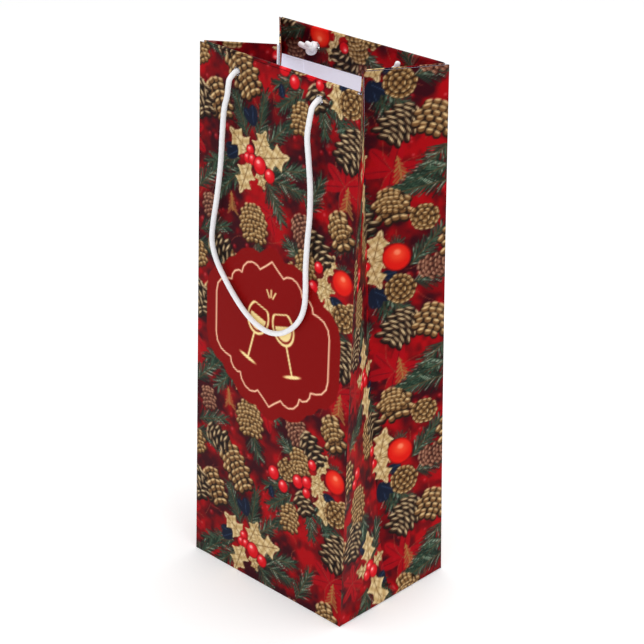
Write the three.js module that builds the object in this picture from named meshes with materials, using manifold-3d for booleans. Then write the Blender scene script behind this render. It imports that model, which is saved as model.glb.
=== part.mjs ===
// Paper gift bag for one wine bottle, standing with its mouth a little pinched.
// Millimetres, +Z up, origin at the centre of the bottom. The front faces -Y and the right gusset is at +X.
// Creases divide the paper into leaves. Each leaf is a solid of its own, and a fold is a small gap.
import * as THREE from "three";
import { mergeVertices } from "three/addons/utils/BufferGeometryUtils.js";
import Module from "manifold-3d";

const wasm = await Module();
wasm.setup();

// Driving dimensions
const WIDTH = 125;
const DEPTH = 90;
const HEIGHT = 330;
const MOUTH_DEPTH = 66;
const PAPER = 0.4;
const CARD = 1;
const GAP = 0.3;

// Corners and creases between leaves
const CORNER_GAP = 1.3;
const PANEL_SIDE_GAP = 0.5;
const PANEL_BOTTOM_GAP = 0.2;
const CREASE_GAP = 2.2; // room for the two leaves between the limits of their motion
const LEAF_BOTTOM = 0.6;
const FLAT_FOOT = 5;
const LOWER_LEAF_TOP = 99;
const UPPER_LEAF_BOTTOM = 100;
const LOWER_LEAF_ROWS = 8;
const UPPER_LEAF_ROWS = 10;

// The turned-in top
const HEM_HEIGHT = 22;
const HEM_SIDE_GAP = 4.5;
const BOARD_HEIGHT = 18;
const BOARD_SIDE_GAP = 5;
const LEAF_HEM_START = 2.2;
const TOP_GAP = 0.5;

// Folded bottom, from the outside in
const FLOOR_SIDE_GAP = 0.8;
const FLAP_LENGTH = 60;
const TAB_LENGTH = 42;
const FLAP_CHAMFER = 10;
const CARD_SIDE_GAP = 1.6;
const CARD_CORNER_RADIUS = 2;

// Glue seam inside the back left corner
const SEAM_WIDTH = 15;
const SEAM_SIDE_GAP = 3;
const SEAM_BOTTOM = 6;
const SEAM_TOP = 306;

// Handles
const CORD_DIAMETER = 3.2;
const CORD_SIDES = 8;
const CORD_STEPS = 78;
const HOLE_DIAMETER = 5;
const HOLE_SPACING = 64;
const HOLE_BELOW_TOP = 11;
const STUB_PROUD = 0.6;
const KNOT_SIZE = [9.6, 8.4, 9];
const KNOT_SEGMENTS = 12;
const KNOT_RINGS = 8;
const TAIL_LENGTH = 9;

// Each route lists [across, up, proud]: across and up lie in the panel, proud is the distance from its face.
const FRONT_ROUTE = [
  [-32, 318.1, 3.2], [-32, 315.8, 5.5], [-32.1, 312.6, 6.4], [-32.9, 306, 6.5], [-35.6, 297, 6.2],
  [-37.6, 281, 5.5], [-39.6, 263, 4.6], [-43.3, 241, 3.8], [-46.5, 225, 3.4], [-47.3, 213, 3.3],
  [-43.2, 202, 3.3], [-35.4, 192.2, 3.3], [-27.2, 184, 3.3], [-18.3, 177.2, 3.3], [-8.7, 172.9, 3.3],
  [1.1, 171.7, 3.3], [10.7, 174.4, 3.3], [19.3, 180.6, 3.3], [25.4, 188.4, 3.3], [28.4, 197, 3.3],
  [29, 207, 3.3], [28.6, 221, 3.3], [29.6, 237, 3.6], [31.2, 252, 4.1], [31.6, 268, 4.7],
  [30.6, 283.6, 5.4], [29.6, 298, 6.2], [30.8, 306.5, 6.5], [31.9, 312.6, 6.4], [32, 315.8, 5.5], [32, 318.1, 3.2],
];
const BACK_HALF_ROUTE = [
  [32, 318.1, 3.2], [32, 315.8, 5.5], [32.1, 312.6, 6.4], [32.4, 306, 6.5], [33.2, 297, 6.2],
  [34.4, 280, 5.4], [35.4, 260, 4.4], [36, 240, 3.7], [35.6, 222, 3.3], [33.4, 206, 3.3],
  [28.4, 192, 3.3], [20.6, 181, 3.3], [10.6, 174, 3.3],
];
const BACK_ROUTE_BOTTOM = [0, 171.6, 3.3];

// Colours
const RED_PRINT = 0x6b0a12;
const PLAIN_WHITE = 0xe6e5ea;
const GREY_CARD = 0xcfc8bb;
const CORD_WHITE = 0xededf0;
const ROUGH_PAPER = 0.75;
const GLOSSY_PRINT = 0.35;

const LEAN = Math.asin((DEPTH - MOUTH_DEPTH) / 2 / HEIGHT);
const HALF_WIDTH = WIDTH / 2;
const HALF_DEPTH = DEPTH / 2;
const HOLE_UP = HEIGHT - HOLE_BELOW_TOP;
const BOARD_LAYER = PAPER + GAP;
const HEM_LAYER = BOARD_LAYER + CARD + GAP;
const LEAF_HEM_LAYER = PAPER + GAP;

const bag = new THREE.Group();

function material(color, roughness) {
  return new THREE.MeshStandardMaterial({ color, roughness, metalness: 0 });
}

function addPiece(group, name, geometry, color, roughness) {
  const piece = new THREE.Mesh(geometry, material(color, roughness));
  piece.name = name;
  group.add(piece);
}

function signedVolume(points, triangles) {
  let volume = 0;
  for (let i = 0; i < triangles.length; i += 3) {
    const [a, b, c] = [0, 1, 2].map((k) => points[triangles[i + k]]);
    volume += a.dot(b.clone().cross(c)) / 6;
  }
  return volume;
}

// A closed solid through a row of four-cornered sections, each listed in order round its edge. Opposite
// faces are cut along the same diagonals, so that a thin twisted sheet keeps its thickness.
function solidThroughSections(sections) {
  const points = sections.flat();
  const triangles = [];
  const quad = (a, b, c, d) => triangles.push(a, b, c, a, c, d);
  for (let row = 0; row + 1 < sections.length; row += 1) {
    for (let side = 0; side < 4; side += 1) {
      const [here, next] = [4 * row + side, 4 * row + (side + 1) % 4];
      if (side < 2) {
        quad(here, next, next + 4, here + 4);
      } else {
        quad(next, next + 4, here + 4, here);
      }
    }
  }
  const last = 4 * (sections.length - 1);
  quad(3, 2, 1, 0);
  quad(last, last + 1, last + 2, last + 3);
  if (signedVolume(points, triangles) < 0) {
    triangles.reverse();
  }
  const geometry = new THREE.BufferGeometry().setFromPoints(points);
  geometry.setIndex(triangles);
  geometry.computeVertexNormals();
  return geometry;
}

// A flat sheet standing in a panel's plane: x across, z up, y inward from the panel's outer face.
function standingSheet(halfWidth, bottom, top, layer, thickness, holes) {
  const outline = new THREE.Shape();
  outline.moveTo(-halfWidth, bottom);
  outline.lineTo(halfWidth, bottom);
  outline.lineTo(halfWidth, top);
  outline.lineTo(-halfWidth, top);
  outline.closePath();
  if (holes) {
    for (const side of [-1, 1]) {
      const hole = new THREE.Path();
      hole.absarc(side * HOLE_SPACING / 2, HOLE_UP, HOLE_DIAMETER / 2, 0, 2 * Math.PI, true);
      outline.holes.push(hole);
    }
  }
  const geometry = new THREE.ExtrudeGeometry(outline, { depth: thickness, bevelEnabled: false, curveSegments: 10 });
  geometry.rotateX(Math.PI / 2);
  geometry.translate(0, layer + thickness, 0);
  return geometry;
}

// A flat sheet lying level, drawn from above.
function lyingSheet(corners, level, thickness) {
  const outline = new THREE.Shape(corners.map(([x, y]) => new THREE.Vector2(x, y)));
  const geometry = new THREE.ExtrudeGeometry(outline, { depth: thickness, bevelEnabled: false });
  geometry.translate(0, 0, level);
  return geometry;
}

// The fold angle between a gusset leaf and the bag's side plane. It grows from the foot to the mouth so
// that the front and back leaves meet in the middle while the panels lean together.
function foldAngle(up) {
  const share = Math.max(0, up - FLAT_FOOT) / (HEIGHT - FLAT_FOOT);
  return Math.acos(1 - (1 - MOUTH_DEPTH / DEPTH) * share);
}

// A point of a folded gusset leaf in its panel's frame: along the leaf from the corner, and in from its outer face.
function leafPoint(side, fold, along, up, inward) {
  const across = HALF_WIDTH - along * Math.sin(fold) - inward * Math.cos(fold);
  return new THREE.Vector3(side * across, along * Math.cos(fold) - inward * Math.sin(fold), up);
}

function evenHeights(bottom, top, rows) {
  return Array.from({ length: rows + 1 }, (_, row) => bottom + (top - bottom) * row / rows);
}

// footRise lifts the crease end of the bottom edge, which keeps that edge level on a leaning panel.
function leafSolid(side, start, heights, layer, footRise) {
  const end = HALF_DEPTH - CREASE_GAP;
  const [bottom, top] = [heights[0], heights.at(-1)];
  const sections = [];
  for (const up of heights) {
    const fold = foldAngle(up);
    const upAtCrease = up + footRise * (top - up) / (top - bottom);
    sections.push([
      leafPoint(side, fold, start, up, layer),
      leafPoint(side, fold, end, upAtCrease, layer),
      leafPoint(side, fold, end, upAtCrease, layer + PAPER),
      leafPoint(side, fold, start, up, layer + PAPER),
    ]);
  }
  return solidThroughSections(sections);
}

function toSolid(geometry) {
  const bare = geometry.index ? geometry.toNonIndexed() : geometry.clone();
  bare.deleteAttribute("normal");
  bare.deleteAttribute("uv");
  const merged = mergeVertices(bare);
  const mesh = new wasm.Mesh({
    numProp: 3,
    vertProperties: new Float32Array(merged.attributes.position.array),
    triVerts: new Uint32Array(merged.index.array),
  });
  return new wasm.Manifold(mesh);
}

function toGeometry(solid) {
  const mesh = solid.getMesh();
  const geometry = new THREE.BufferGeometry();
  geometry.setAttribute("position", new THREE.BufferAttribute(mesh.vertProperties, 3));
  geometry.setIndex(new THREE.BufferAttribute(mesh.triVerts, 1));
  geometry.computeVertexNormals();
  return geometry;
}

// A cylinder of cord between two points, with closed ends.
function cordPiece(from, to) {
  const direction = to.clone().sub(from);
  const radius = CORD_DIAMETER / 2;
  const geometry = new THREE.CylinderGeometry(radius, radius, direction.length(), CORD_SIDES);
  const turn = new THREE.Quaternion().setFromUnitVectors(new THREE.Vector3(0, 1, 0), direction.clone().normalize());
  geometry.applyQuaternion(turn);
  const middle = from.clone().add(to).multiplyScalar(0.5);
  geometry.translate(middle.x, middle.y, middle.z);
  return geometry;
}

// An overhand knot behind the hem, the cord that passes out through the hole, and the short free end.
function knotGeometry(side, tailDirection) {
  const [wide, deep, high] = KNOT_SIZE;
  const across = side * HOLE_SPACING / 2;
  const knotInward = HEM_LAYER + PAPER + GAP + deep / 2;
  const knot = new THREE.SphereGeometry(0.5, KNOT_SEGMENTS, KNOT_RINGS);
  knot.scale(wide, deep, high);
  knot.translate(across, knotInward, HOLE_UP);
  const centre = new THREE.Vector3(across, knotInward, HOLE_UP);
  const outside = new THREE.Vector3(across, -STUB_PROUD, HOLE_UP);
  const tailEnd = centre.clone().addScaledVector(tailDirection.clone().normalize(), TAIL_LENGTH);
  const joined = toSolid(knot).add(toSolid(cordPiece(outside, centre))).add(toSolid(cordPiece(centre, tailEnd)));
  return toGeometry(joined);
}

class CordPath extends THREE.CatmullRomCurve3 {
  constructor(route) {
    super(route.map(([across, up, proud]) => new THREE.Vector3(across, -proud, up)), false, "centripetal");
  }
}

function cordLoop(route) {
  const section = new THREE.Shape();
  for (let corner = 0; corner < CORD_SIDES; corner += 1) {
    const angle = 2 * Math.PI * corner / CORD_SIDES;
    const point = [Math.cos(angle) * CORD_DIAMETER / 2, Math.sin(angle) * CORD_DIAMETER / 2];
    if (corner === 0) {
      section.moveTo(...point);
    } else {
      section.lineTo(...point);
    }
  }
  section.closePath();
  return new THREE.ExtrudeGeometry(section, { steps: CORD_STEPS, extrudePath: new CordPath(route) });
}

function addPanelSide(group, face, sideName, knotTails) {
  const hemBottom = HEIGHT - HEM_HEIGHT;
  const foldTop = HEIGHT - TOP_GAP;
  const footRise = HALF_DEPTH * Math.tan(LEAN);
  const lowerHeights = [LEAF_BOTTOM, ...evenHeights(FLAT_FOOT, LOWER_LEAF_TOP, LOWER_LEAF_ROWS)];
  const panel = standingSheet(HALF_WIDTH - PANEL_SIDE_GAP, PANEL_BOTTOM_GAP, HEIGHT, 0, PAPER, true);
  const board = standingSheet(HALF_WIDTH - BOARD_SIDE_GAP, foldTop - BOARD_HEIGHT, foldTop, BOARD_LAYER, CARD, true);
  const hem = standingSheet(HALF_WIDTH - HEM_SIDE_GAP, hemBottom, foldTop, HEM_LAYER, PAPER, true);
  addPiece(group, `${face}_panel`, panel, RED_PRINT, GLOSSY_PRINT);
  addPiece(group, `${face}_board`, board, GREY_CARD, ROUGH_PAPER);
  addPiece(group, `${face}_hem`, hem, RED_PRINT, GLOSSY_PRINT);
  for (const side of [-1, 1]) {
    const name = `${sideName(side)}_gusset_${face}`;
    const lower = leafSolid(side, CORNER_GAP, lowerHeights, 0, footRise);
    const upper = leafSolid(side, CORNER_GAP, evenHeights(UPPER_LEAF_BOTTOM, HEIGHT, UPPER_LEAF_ROWS), 0, 0);
    const leafHem = leafSolid(side, LEAF_HEM_START, [hemBottom, foldTop], LEAF_HEM_LAYER, 0);
    addPiece(group, `${name}_lower`, lower, RED_PRINT, GLOSSY_PRINT);
    addPiece(group, `${name}_upper`, upper, RED_PRINT, GLOSSY_PRINT);
    addPiece(group, `${name}_hem`, leafHem, RED_PRINT, GLOSSY_PRINT);
    addPiece(group, `${face}_knot_${sideName(side)}`, knotGeometry(side, knotTails[sideName(side)]), CORD_WHITE, ROUGH_PAPER);
  }
}

function leaningGroup() {
  const group = new THREE.Group();
  group.position.y = -HALF_DEPTH;
  group.rotation.x = -LEAN;
  return group;
}

function addFront() {
  const group = leaningGroup();
  const tails = { left: new THREE.Vector3(-0.8, 0.2, -0.6), right: new THREE.Vector3(0.7, 0.3, -0.7) };
  addPanelSide(group, "front", (side) => (side > 0 ? "right" : "left"), tails);
  addPiece(group, "front_cord", cordLoop(FRONT_ROUTE), CORD_WHITE, ROUGH_PAPER);
  bag.add(group);
}

// The back is built like the front and turned half round, so that its own left and right swap.
function addBack() {
  const group = leaningGroup();
  const tails = { left: new THREE.Vector3(0.95, 0.1, -0.2), right: new THREE.Vector3(0.3, 0.35, 0.9) };
  addPanelSide(group, "back", (side) => (side > 0 ? "left" : "right"), tails);
  const mirrored = BACK_HALF_ROUTE.map(([across, up, proud]) => [-across, up, proud]).reverse();
  const route = [...BACK_HALF_ROUTE, BACK_ROUTE_BOTTOM, ...mirrored];
  addPiece(group, "back_cord", cordLoop(route), CORD_WHITE, ROUGH_PAPER);
  const seam = standingSheet(SEAM_WIDTH / 2, SEAM_BOTTOM, SEAM_TOP, PAPER + GAP, PAPER, false);
  seam.translate(HALF_WIDTH - SEAM_SIDE_GAP - SEAM_WIDTH / 2, 0, 0);
  addPiece(group, "seam_tab", seam, PLAIN_WHITE, ROUGH_PAPER);
  const turned = new THREE.Group();
  turned.rotation.z = Math.PI;
  turned.add(group);
  bag.add(turned);
}

// A flap's outline: its fold line lies along a side of the floor, and its free end is chamfered.
function flapOutline(halfFold, length) {
  return [
    [-halfFold, 0],
    [halfFold, 0],
    [halfFold, length - FLAP_CHAMFER],
    [halfFold - FLAP_CHAMFER, length],
    [FLAP_CHAMFER - halfFold, length],
    [-halfFold, length - FLAP_CHAMFER],
  ];
}

function addBottom() {
  const floorHalfWidth = HALF_WIDTH - FLOOR_SIDE_GAP;
  const floorHalfDepth = HALF_DEPTH - FLOOR_SIDE_GAP;
  const levels = [0, 1, 2, 3].map((layer) => layer * (PAPER + GAP));
  const flap = flapOutline(floorHalfWidth, FLAP_LENGTH);
  const tab = flapOutline(floorHalfDepth, TAB_LENGTH);
  const outer = lyingSheet(flap.map(([x, y]) => [x, y - floorHalfDepth]), levels[0], PAPER);
  const inner = lyingSheet(flap.map(([x, y]) => [-x, floorHalfDepth - y]), levels[1], PAPER);
  const right = lyingSheet(tab.map(([x, y]) => [floorHalfWidth - y, x]), levels[2], PAPER);
  const left = lyingSheet(tab.map(([x, y]) => [y - floorHalfWidth, -x]), levels[2], PAPER);
  addPiece(bag, "outer_flap", outer, RED_PRINT, GLOSSY_PRINT);
  addPiece(bag, "inner_flap", inner, RED_PRINT, GLOSSY_PRINT);
  addPiece(bag, "right_tab", right, RED_PRINT, GLOSSY_PRINT);
  addPiece(bag, "left_tab", left, RED_PRINT, GLOSSY_PRINT);
  addPiece(bag, "base_card", baseCard(levels[3]), GREY_CARD, ROUGH_PAPER);
}

function baseCard(level) {
  const x = HALF_WIDTH - CARD_SIDE_GAP;
  const y = HALF_DEPTH - CARD_SIDE_GAP;
  const r = CARD_CORNER_RADIUS;
  const outline = new THREE.Shape();
  outline.moveTo(-x + r, -y);
  outline.absarc(x - r, -y + r, r, -Math.PI / 2, 0);
  outline.absarc(x - r, y - r, r, 0, Math.PI / 2);
  outline.absarc(-x + r, y - r, r, Math.PI / 2, Math.PI);
  outline.absarc(-x + r, -y + r, r, Math.PI, 3 * Math.PI / 2);
  const geometry = new THREE.ExtrudeGeometry(outline, { depth: CARD, bevelEnabled: false, curveSegments: 4 });
  geometry.translate(0, 0, level);
  return geometry;
}

addBottom();
addFront();
addBack();

export default bag;
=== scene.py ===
"""Paper gift bag for one wine bottle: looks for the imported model, in metres, in the frame of the CAD."""
import math

import bpy
import numpy as np
from mathutils import Matrix, Vector


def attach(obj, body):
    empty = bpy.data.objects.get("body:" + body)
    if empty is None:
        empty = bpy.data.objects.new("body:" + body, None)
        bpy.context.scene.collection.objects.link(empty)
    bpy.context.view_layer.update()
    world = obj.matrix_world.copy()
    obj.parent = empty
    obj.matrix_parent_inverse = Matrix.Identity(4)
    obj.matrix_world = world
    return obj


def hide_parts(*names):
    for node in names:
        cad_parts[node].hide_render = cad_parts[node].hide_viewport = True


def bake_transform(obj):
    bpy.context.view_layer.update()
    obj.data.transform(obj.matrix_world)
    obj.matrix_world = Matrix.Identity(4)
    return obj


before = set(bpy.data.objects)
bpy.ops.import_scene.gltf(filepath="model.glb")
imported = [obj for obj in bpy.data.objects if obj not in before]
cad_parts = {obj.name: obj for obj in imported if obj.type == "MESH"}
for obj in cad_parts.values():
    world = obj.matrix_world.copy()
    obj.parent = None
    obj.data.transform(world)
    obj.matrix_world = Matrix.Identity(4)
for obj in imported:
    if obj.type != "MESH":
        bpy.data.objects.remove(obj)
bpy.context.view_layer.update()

# Driving dimensions of the bag, in metres
MM = 0.001
WIDTH = 0.125
DEPTH = 0.090
HEIGHT = 0.330
MOUTH_DEPTH = 0.066
HALF_WIDTH = WIDTH / 2
HALF_DEPTH = DEPTH / 2
LEAN = math.asin((DEPTH - MOUTH_DEPTH) / 2 / HEIGHT)
PAPER = 0.35 * MM
FLAT_FOOT = 5 * MM

# How the paper has settled
PANEL_BOW = 1.3 * MM
BACK_TWIST = 3.6 * MM
CREASE_TIP_DROP = 1.6 * MM
CREASE_DROP_START = 0.85

# Turned-in top
HEM_HEIGHT = 22 * MM
HEM_HALF_WIDTH = 59.2 * MM
PANEL_HEM_DEPTH = 2.4 * MM
PAPER_TOP = HEIGHT - 1.0 * MM
HEM_BEND_STEPS = 8
LEAF_HEM_START = 2.4 * MM
LEAF_HEM_END = HALF_DEPTH - 1.0 * MM
LEAF_HEM_DEPTH = 0.9 * MM

# Card strips in the hems, and the glue seam at one back corner
BOARD_HALF_WIDTH = 57.5 * MM
BOARD_BOTTOM = 311 * MM
BOARD_TOP = 328.4 * MM
BOARD_LAYER = (0.7 * MM, 1.7 * MM)
SEAM_INNER = 44.5 * MM
SEAM_OUTER = 59.5 * MM
SEAM_BOTTOM = 6 * MM
SEAM_TOP = 306 * MM
SEAM_LAYER = (0.7 * MM, 1.1 * MM)
SEAM_STEP = 3 * MM

# Handles
CORD_DIAMETER = 3.2 * MM
HOLE_SPACING = 64 * MM
HOLE_RADIUS = 2.4 * MM
HOLE_UP = HEIGHT - 11 * MM
CORD_BLEND_START = HEIGHT - 12 * MM
CORD_BLEND_END = HEIGHT - 27 * MM
HOLES = ((-HOLE_SPACING / 2, HOLE_UP), (HOLE_SPACING / 2, HOLE_UP))
# Cords are laid out as (across, up, proud) in a panel's plane, in millimetres. Proud is the distance
# from the panel's outer face. The way out of a hole is (up, proud), because it goes straight.
CORD_START = [(319, -1.6), (319, 0.0), (318.8, 1.6)]
FRONT_ROUTE = [
    (-32, 315.8, 5.5), (-32.1, 312.6, 6.4), (-32.9, 306, 6.5), (-35.6, 297, 6.2), (-37.6, 281, 5.5),
    (-39.6, 263, 4.6), (-43.3, 241, 3.8), (-46.5, 225, 3.4), (-47.3, 213, 3.3),
    (-43.2, 202, 3.3), (-35.4, 192.2, 3.3), (-27.2, 184, 3.3), (-18.3, 177.2, 3.3), (-8.7, 172.9, 3.3),
    (1.1, 171.7, 3.3), (10.7, 174.4, 3.3), (19.3, 180.6, 3.3), (25.4, 188.4, 3.3), (28.4, 197, 3.3),
    (29, 207, 3.3), (28.6, 221, 3.3), (29.6, 237, 3.6), (31.2, 252, 4.1), (31.6, 268, 4.7),
    (30.6, 283.6, 5.4), (29.6, 298, 6.2), (30.8, 306.5, 6.5), (31.9, 312.6, 6.4), (32, 315.8, 5.5),
]
BACK_HALF_ROUTE = [
    (32, 315.8, 5.5), (32.1, 312.6, 6.4), (32.4, 306, 6.5), (33.2, 297, 6.2), (34.4, 280, 5.4),
    (35.4, 260, 4.4), (36, 240, 3.7), (35.6, 222, 3.3), (33.4, 206, 3.3),
    (28.4, 192, 3.3), (20.6, 181, 3.3), (10.6, 174, 3.3),
]
BACK_LOOP_BOTTOM = (0, 171.6, 3.3)
ROUTES = {
    "front": FRONT_ROUTE,
    "back": [
        *BACK_HALF_ROUTE,
        BACK_LOOP_BOTTOM,
        *((-across, up, proud) for across, up, proud in BACK_HALF_ROUTE[::-1]),
    ],
}
CORD_STRANDS = 4
CORD_RIDGE = 0.05
CORD_TWIST_LENGTH = 14 * MM
CORD_END_FLAT = 0.02
RING_STEP = 0.8 * MM
RING_SIDES = 16
KNOT_INWARD = 6.8 * MM
KNOT_SCALE = 1.05 * MM
KNOT_FLATTEN = 1.15
KNOT_OPENING = 0.35
KNOT_SAMPLES = 90
KNOT_SAMPLES_PER_STATION = 3
KNOT_STUB_START = 0.5 * MM
TAIL_LENGTH = 9 * MM
# Where each knot is across its own panel, and the way its tail points: across, up, inward
KNOTS = {
    "front": {
        "left": (-HOLE_SPACING / 2, (-0.8, 0.2, -0.1)),
        "right": (HOLE_SPACING / 2, (0.7, 0.3, -0.1)),
    },
    "back": {
        "left": (HOLE_SPACING / 2, (0.95, 0.1, 0.1)),
        "right": (-HOLE_SPACING / 2, (-0.35, 0.9, 0.3)),
    },
}

# Grids that carry the print
GRID_STEP = 0.7 * MM
COARSE = 8
PANEL_START = 0.2 * MM
LEAF_START = 0.6 * MM
FINE_TOP_ROWS = 40
# The inner faces stop short of the corners and creases, so that they don't come through
LEAF_INSET = 1.5 * PAPER
CREASE_INSET = 0.3 * PAPER

# The camera
CAMERA_AZIMUTH = 44.15
CAMERA_ELEVATION = 26.18
CAMERA_ROLL = 0.37
CAMERA_DISTANCE = 1.235
CAMERA_TARGET = (0.0024, 0.0, 0.1641)
CAMERA_LENS = 117.6
SENSOR_WIDTH = 36

# The studio: each soft light's place, size and power, then the sky and the floor
LIGHTS = {
    "front_light": ((-0.5, -1.3, 0.9), 1.2, 3.6),
    "side_light": ((1.4, -0.2, 0.8), 1.2, 4.2),
    "top_light": ((0.1, 0.2, 1.6), 1.4, 12),
}
SKY_STRENGTH = 0.7
FLOOR_REACH = 3
FLOOR_DROP = 0.05 * MM

# Surfaces
PRINT_ROUGHNESS = 0.5
PRINT_SPECULAR = 0.06
TOOTH_SCALE = 12
TOOTH_DEPTH = 0.1 * MM
WAVE_DEPTH = 0.5 * MM
FLAP_TOOTH_DEPTH = 0.05 * MM


def smooth(value):
    """0 below 0, 1 above 1, and a smooth rise between them."""
    t = np.clip(value, 0, 1)
    return t * t * (3 - 2 * t)


def place(face, across, up, inward):
    """World points from a panel's own frame: across, up the panel, and in from its outer face."""
    across, up, inward = np.broadcast_arrays(across, up, inward)
    turn = 1 if face == "front" else -1
    x = turn * across
    y = turn * (-HALF_DEPTH + up * math.sin(LEAN) + inward * math.cos(LEAN))
    z = up * math.cos(LEAN) - inward * math.sin(LEAN)
    back_share = np.clip(0.5 + y / MOUTH_DEPTH, 0, 1)
    y = y + BACK_TWIST * back_share * (x / HALF_WIDTH) * (np.clip(z, 0, None) / HEIGHT) ** 2
    return np.stack([x, y, z], axis=-1)


def bowed(across, up, inward):
    """The distance in from the flat panel once the paper has bowed out a little."""
    bow = np.cos(math.pi * across / WIDTH) * np.sin(math.pi * np.clip(up / HEIGHT, 0, 1))
    return inward - PANEL_BOW * bow


def fold_angle(up):
    """The angle between a gusset leaf and the side plane, for leaves that meet in the middle."""
    share = np.clip((up - FLAT_FOOT) / (HEIGHT - FLAT_FOOT), 0, 1)
    return np.arccos(1 - (1 - MOUTH_DEPTH / DEPTH) * share)


def leaf_place(face, side, along, up, inward):
    """World points of a gusset leaf: along it from the corner, up, and in from its outer face."""
    fold = fold_angle(up)
    across = HALF_WIDTH - along * np.sin(fold) - inward * np.cos(fold)
    depth = along * np.cos(fold) - inward * np.sin(fold)
    share = along / HALF_DEPTH
    foot_rise = HALF_DEPTH * math.tan(LEAN) * share * (1 - smooth(up / HALF_DEPTH))
    top_share = (up / HEIGHT - CREASE_DROP_START) / (1 - CREASE_DROP_START)
    tip_drop = CREASE_TIP_DROP * share * smooth(top_share)
    return place(face, side * across, up + foot_rise - tip_drop, depth)


# ---- camera, lights and floor


def add_camera():
    azimuth, elevation, roll = (math.radians(a) for a in (CAMERA_AZIMUTH, CAMERA_ELEVATION, CAMERA_ROLL))
    back = Vector((
        math.sin(azimuth) * math.cos(elevation),
        -math.cos(azimuth) * math.cos(elevation),
        math.sin(elevation),
    ))
    level = Vector((math.cos(azimuth), math.sin(azimuth), 0))
    upright = back.cross(level)
    right = math.cos(roll) * level + math.sin(roll) * upright
    up = -math.sin(roll) * level + math.cos(roll) * upright
    camera = bpy.data.objects.new("camera", bpy.data.cameras.new("camera"))
    bpy.context.scene.collection.objects.link(camera)
    turn = Matrix((right, up, back)).transposed().to_4x4()
    camera.matrix_world = Matrix.Translation(Vector(CAMERA_TARGET) + CAMERA_DISTANCE * back) @ turn
    camera.data.lens = CAMERA_LENS
    camera.data.sensor_width = SENSOR_WIDTH
    bpy.context.scene.camera = camera


def add_area_light(name, light_place, size, power):
    light = bpy.data.lights.new(name, "AREA")
    light.size = size
    light.energy = power
    lamp = bpy.data.objects.new(name, light)
    lamp.location = light_place
    aim = Vector((0, 0, HEIGHT / 2)) - Vector(light_place)
    lamp.rotation_euler = aim.to_track_quat("-Z", "Y").to_euler()
    bpy.context.scene.collection.objects.link(lamp)


def add_studio():
    for name, (light_place, size, power) in LIGHTS.items():
        add_area_light(name, light_place, size, power)
    world = bpy.data.worlds.new("studio")
    world.use_nodes = True
    background = world.node_tree.nodes["Background"]
    background.inputs["Color"].default_value = (1, 1, 1, 1)
    background.inputs["Strength"].default_value = SKY_STRENGTH
    bpy.context.scene.world = world
    bpy.context.scene.view_settings.view_transform = "Standard"
    mesh = bpy.data.meshes.new("floor")
    signs = ((-1, -1), (1, -1), (1, 1), (-1, 1))
    corners = [(FLOOR_REACH * sign_x, FLOOR_REACH * sign_y, 0) for sign_x, sign_y in signs]
    mesh.from_pydata(corners, [], [(0, 1, 2, 3)])
    floor = bpy.data.objects.new("floor", mesh)
    floor.location.z = -FLOOR_DROP
    floor.data.materials.append(plain_material("floor_white", (0.93, 0.93, 0.93), 0.9, 40, 0.005, 0.14))
    bpy.context.scene.collection.objects.link(floor)


# ---- materials


def new_material(name):
    material = bpy.data.materials.new(name)
    material.use_nodes = True
    nodes = material.node_tree.nodes
    return material, nodes, material.node_tree.links, nodes["Principled BSDF"]


def add_noise(nodes, links, scale, detail):
    coordinates = nodes.new("ShaderNodeTexCoord")
    noise = nodes.new("ShaderNodeTexNoise")
    noise.inputs["Scale"].default_value = scale
    noise.inputs["Detail"].default_value = detail
    links.new(coordinates.outputs["Object"], noise.inputs["Vector"])
    return noise


def add_bump(nodes, links, shader, height, strength, distance):
    bump = nodes.new("ShaderNodeBump")
    bump.inputs["Strength"].default_value = strength
    bump.inputs["Distance"].default_value = distance
    links.new(height, bump.inputs["Height"])
    links.new(bump.outputs["Normal"], shader.inputs["Normal"])


def plain_material(name, color, roughness, scale, variation, glow=0.0):
    """Uncoated paper, card or cord: a mottled colour, a fine tooth, and a glow of its own colour, painted
    light.
    """
    material, nodes, links, shader = new_material(name)
    noise = add_noise(nodes, links, scale, 4)
    ramp = nodes.new("ShaderNodeValToRGB")
    for element, share in zip(ramp.color_ramp.elements, (1 - variation, 1 + variation)):
        element.color = (*(min(1, c * share) for c in color), 1)
    ramp.color_ramp.elements[0].position = 0.3
    ramp.color_ramp.elements[1].position = 0.7
    links.new(noise.outputs["Fac"], ramp.inputs["Fac"])
    links.new(ramp.outputs["Color"], shader.inputs["Base Color"])
    shader.inputs["Roughness"].default_value = roughness
    # The glow is painted light: emission in the paper's own colour that brightens it where it lies in shade
    shader.inputs["Emission Color"].default_value = (*color, 1)
    shader.inputs["Emission Strength"].default_value = glow
    tooth = add_noise(nodes, links, scale * TOOTH_SCALE, 3)
    add_bump(nodes, links, shader, tooth.outputs["Fac"], 0.25, TOOTH_DEPTH)
    return material


def printed_material():
    """The painted colours with a low sheen and a slight waviness."""
    material, nodes, links, shader = new_material("printed_paper")
    painted = nodes.new("ShaderNodeAttribute")
    painted.attribute_name = "print"
    links.new(painted.outputs["Color"], shader.inputs["Base Color"])
    shader.inputs["Roughness"].default_value = PRINT_ROUGHNESS
    shader.inputs["Specular IOR Level"].default_value = PRINT_SPECULAR
    wave = add_noise(nodes, links, 55, 2)
    add_bump(nodes, links, shader, wave.outputs["Fac"], 0.12, WAVE_DEPTH)
    return material


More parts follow.
